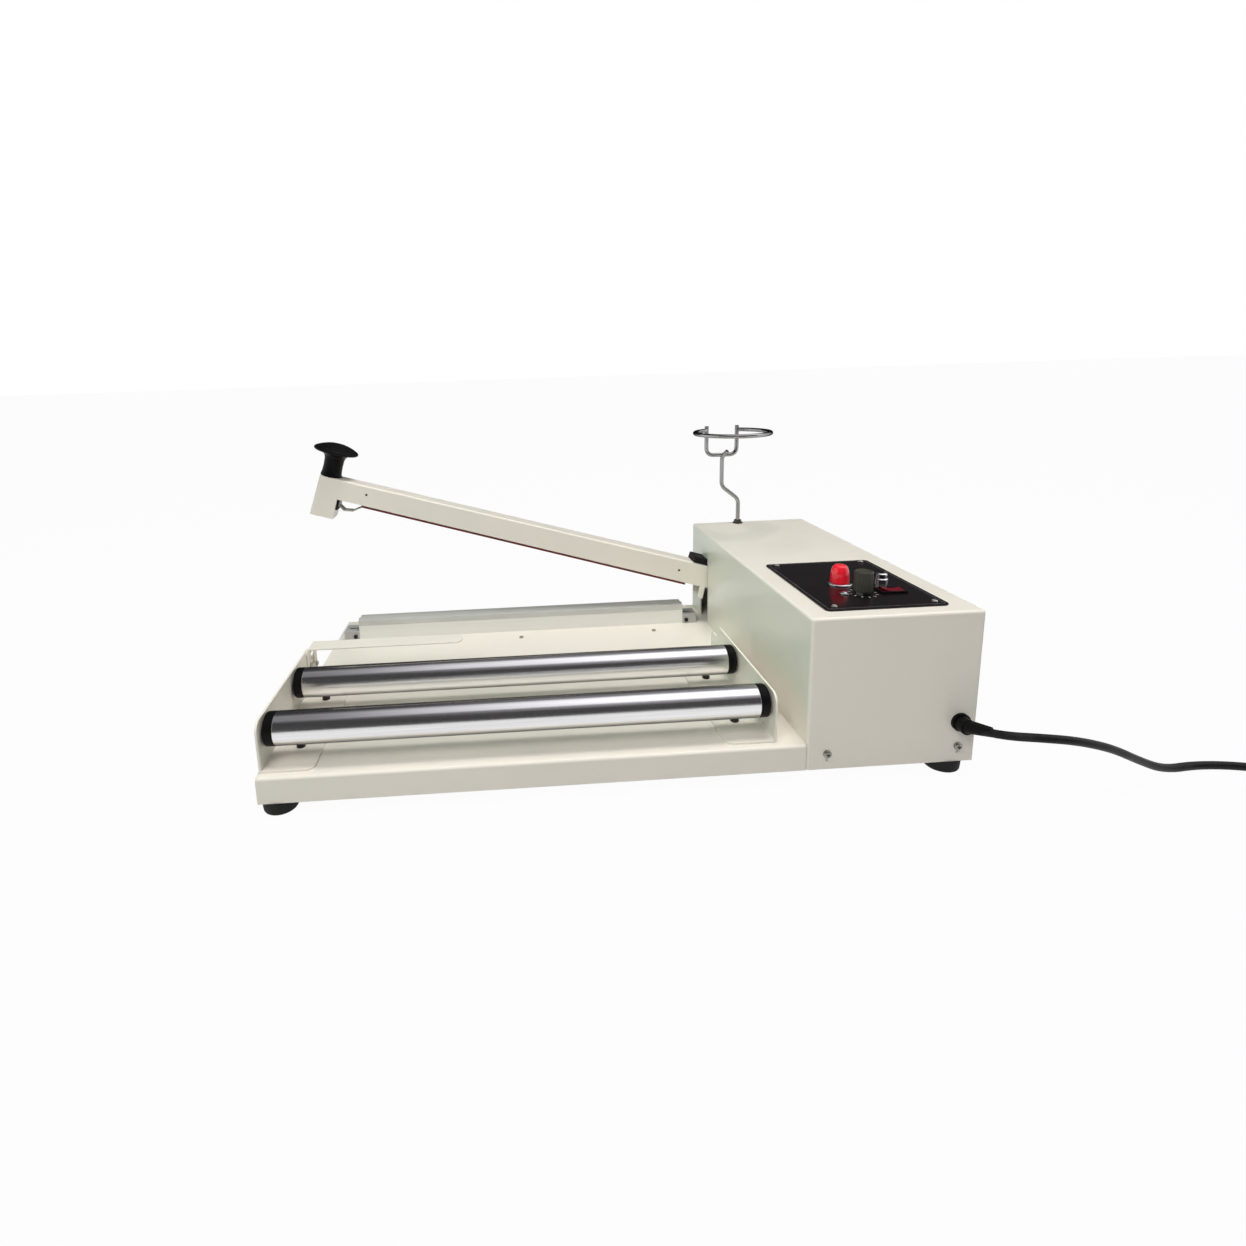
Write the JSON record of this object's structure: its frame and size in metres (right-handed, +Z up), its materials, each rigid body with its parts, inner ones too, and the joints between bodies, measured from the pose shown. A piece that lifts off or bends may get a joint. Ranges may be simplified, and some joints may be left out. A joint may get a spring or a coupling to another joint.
{
  "type": "bar sealer",
  "caption": "Tabletop film sealer: sheet tray with two film rollers, hinged sealing arm over a heated bar, control box and tool stand.",
  "frame": {"origin": "under the middle of the machine without its lead, on the surface that its feet stand on", "axes": "+X to the right along the seal bar, towards the control box; +Y from the front to the back; +Z up"},
  "size_m": [1.2048, 0.4621, 0.3102],
  "materials": {
    "ivory_paint": "smooth semi-gloss powder coat",
    "black_rubber": "matt moulded rubber",
    "zinc_steel": "zinc plated",
    "dark_steel": "dark oxide",
    "black_gloss": "glossy film over metal",
    "red_lens": "clear red moulding",
    "chrome": "bright plating",
    "black_plastic": "fine moulded grain",
    "dark_red_plastic": "smooth moulding",
    "bare_aluminium": "extruded",
    "grey_tape": "coated glass cloth",
    "grey_plastic": "plain moulding",
    "core_steel": "varnished laminations",
    "coil_wrap": "insulating wrap",
    "board_green": "lacquered board",
    "cord_black": "satin jacket",
    "red_silicone": "smooth silicone",
    "brass": "turned"
  },
  "bodies": {
    "frame": {"base_tray": "ivory_paint", "rubber_feet": "black_rubber", "foot_screws": "zinc_steel", "tray_nuts": "zinc_steel", "control_box_cover": "ivory_paint", "box_screws": "zinc_steel", "control_panel": "black_gloss", "small_screws": "zinc_steel", "pilot_lamp_lens": "red_lens", "pilot_lamp_bezel": "chrome", "timer_body": "zinc_steel", "indicator": "chrome", "fuse_holder": "chrome", "rocker_bezel": "black_plastic", "roller_bracket_left": "ivory_paint", "roller_bracket_right": "ivory_paint", "deck_screws": "dark_steel", "roller_axles": "zinc_steel", "shaft_clips": "zinc_steel", "film_separator": "ivory_paint", "seal_bar": "bare_aluminium", "under_tape": "grey_tape", "heating_wire": "zinc_steel", "ptfe_tape": "grey_tape", "bar_end_blocks": "grey_plastic", "bar_end_screws": "dark_steel", "hinge_bracket": "zinc_steel", "pivot_pin": "zinc_steel", "return_spring": "zinc_steel", "microswitch": "black_plastic", "transformer_core": "core_steel", "transformer_coil": "coil_wrap", "transformer_strap": "zinc_steel", "timer_board": "board_green", "board_posts": "grey_plastic", "terminal_block": "grey_plastic", "gun_stand": "zinc_steel", "stand_nuts": "zinc_steel", "cord_gland": "black_plastic", "power_cord": "cord_black", "cord_coil": "cord_black", "power_plug": "cord_black"},
    "arm": {"arm_channel": "ivory_paint", "arm_stop_block": "black_rubber", "strip_carrier": "bare_aluminium", "silicone_strip": "red_silicone", "arm_side_screws": "dark_steel", "head_pad": "black_rubber", "strip_end_clip": "grey_plastic", "arm_knob": "black_plastic", "knob_screw": "zinc_steel", "spring_pin": "zinc_steel", "pivot_bushes": "brass"},
    "front_roller": {"front_roller_tube": "chrome", "front_roller_caps": "black_plastic"},
    "rear_roller": {"rear_roller_tube": "chrome", "rear_roller_caps": "black_plastic"},
    "timer_turn": {"timer_knob": "black_plastic"},
    "power_switch": {"rocker_button": "dark_red_plastic"}
  },
  "joints": [
    {"name": "arm_hinge", "type": "hinge", "parent": "frame", "child": "arm", "pos_m": [0.2488, 0.137, 0.074], "axis": [0, -1, 0], "range_deg": [0, 16.5], "stiffness_Nm_per_rad": 8, "springref_deg": -34.38, "deforming": ["return_spring"]},
    {"name": "front_roller_spin", "type": "hinge", "parent": "frame", "child": "front_roller", "pos_m": [-0.0845, -0.17, 0.072], "axis": [1, 0, 0], "continuous": true},
    {"name": "rear_roller_spin", "type": "hinge", "parent": "frame", "child": "rear_roller", "pos_m": [-0.0845, -0.074, 0.072], "axis": [1, 0, 0], "continuous": true},
    {"name": "timer_turn", "type": "hinge", "parent": "frame", "child": "timer_turn", "pos_m": [0.2628, -0.14, 0.172], "axis": [0, 0, -1], "range_deg": [0, 270]},
    {"name": "power_rocker", "type": "hinge", "parent": "frame", "child": "power_switch", "pos_m": [0.2928, -0.138, 0.1625], "axis": [0, -1, 0], "range_deg": [0, 12]}
  ]
}
